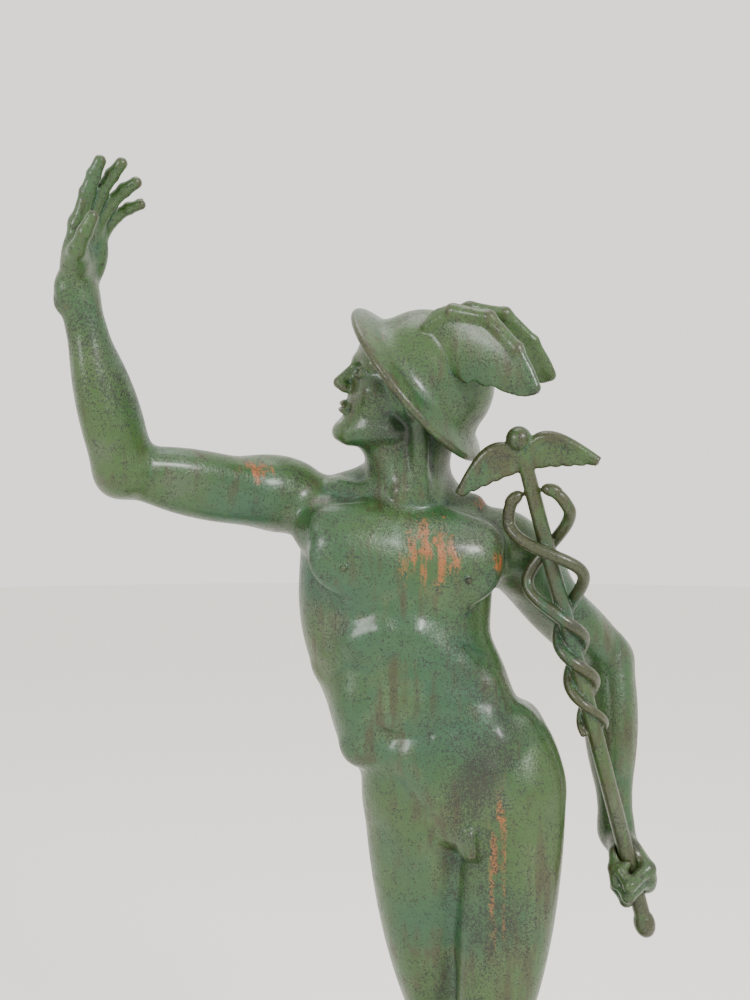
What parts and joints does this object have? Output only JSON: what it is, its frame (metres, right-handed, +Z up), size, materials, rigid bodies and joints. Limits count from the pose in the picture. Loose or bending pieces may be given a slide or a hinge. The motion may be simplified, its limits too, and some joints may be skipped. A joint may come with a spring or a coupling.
{
  "type": "cast iron mercury statue",
  "caption": "Cast iron garden figure of Mercury in a winged hat, an open hand raised and a staff twined with snakes in the other, standing on a low round plinth.",
  "frame": {"origin": "centre of the plinth's round underside", "axes": "+Z up; the statue faces -Y; its left hand, which holds the staff, is on the +X side"},
  "size_m": [0.4413, 0.3349, 0.9379],
  "materials": {
    "figure_iron": "green weathered, satin",
    "staff_iron": "green weathered, satin",
    "base_iron": "brown and green weathered, satin"
  },
  "bodies": {
    "root": {"figure": "figure_iron", "caduceus": "staff_iron", "base": "base_iron"}
  },
  "joints": []
}
